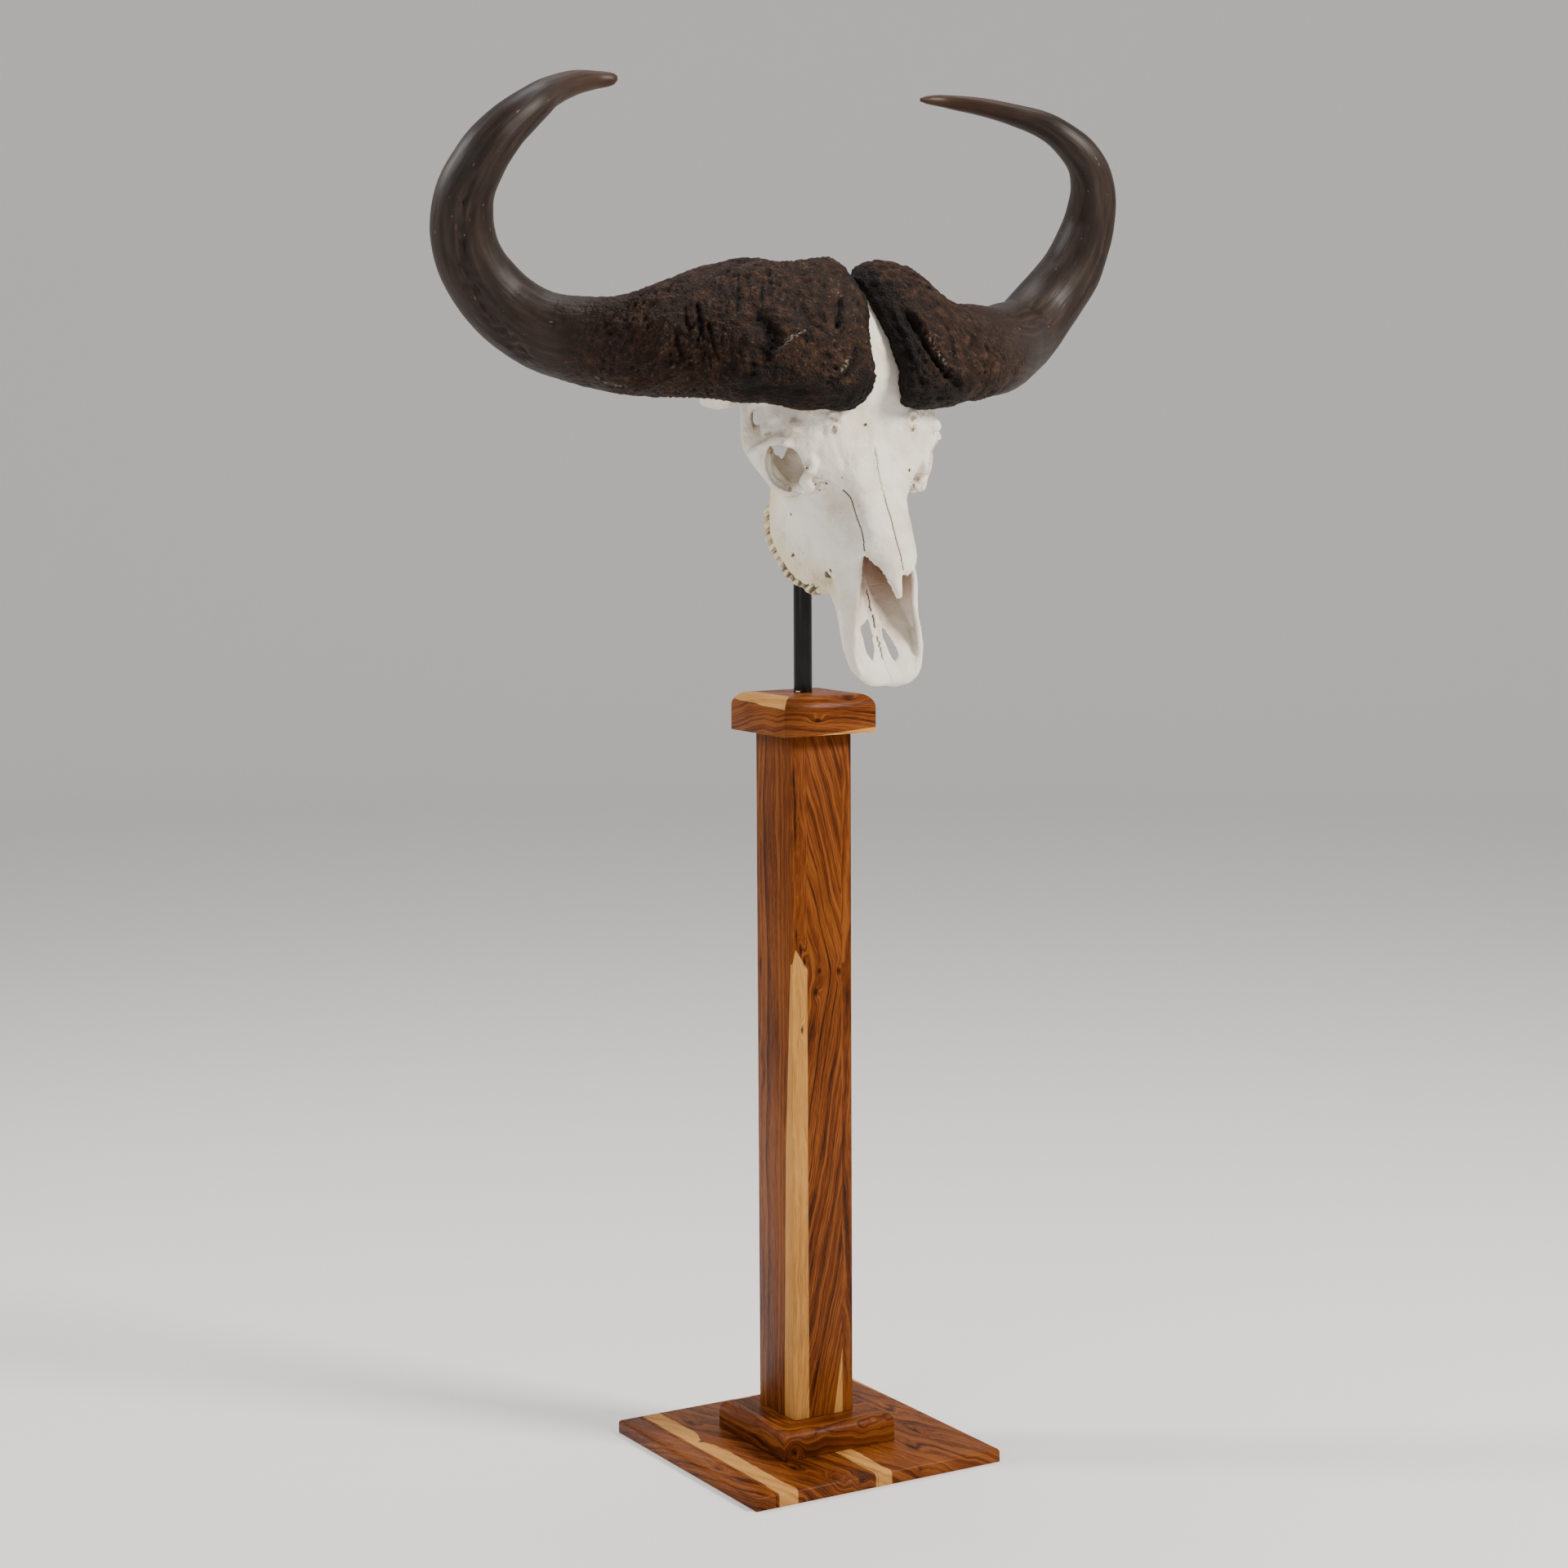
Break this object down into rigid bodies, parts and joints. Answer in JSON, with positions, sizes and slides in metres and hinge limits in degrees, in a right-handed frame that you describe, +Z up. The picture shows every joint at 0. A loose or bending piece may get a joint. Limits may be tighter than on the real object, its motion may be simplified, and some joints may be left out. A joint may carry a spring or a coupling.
{
  "type": "buffalo skull mount",
  "caption": "Horned buffalo skull with a heavy boss and wide upcurved horns, held on a round post over a square wooden column with a stepped base.",
  "frame": {"origin": "On the floor under the middle of the column, at the centre of the square base's underside", "axes": "+Z up. The skull looks along -Y, with its muzzle turned 1.8 degrees towards -X. +X is the animal's left"},
  "size_m": [0.9859, 0.4346, 1.794],
  "materials": {
    "wood": "oiled, satin",
    "black_post": "black gloss",
    "bright_steel": "bright",
    "bone": "bleached, dry",
    "horn": "rough boss, semi-gloss tips",
    "tooth": "worn enamel"
  },
  "bodies": {
    "root": {"base_board_right": "wood", "base_board_middle": "wood", "base_board_left": "wood", "foot_block": "wood", "column": "wood", "cap": "wood", "post": "black_post", "post_screw": "bright_steel", "skull": "bone", "horn_right": "horn", "horn_left": "horn", "tooth_right_p2": "tooth", "tooth_right_p3": "tooth", "tooth_right_p4": "tooth", "tooth_right_m1": "tooth", "tooth_right_m2": "tooth", "tooth_right_m3": "tooth", "tooth_left_p2": "tooth", "tooth_left_p3": "tooth", "tooth_left_p4": "tooth", "tooth_left_m1": "tooth", "tooth_left_m2": "tooth", "tooth_left_m3": "tooth"}
  },
  "joints": []
}
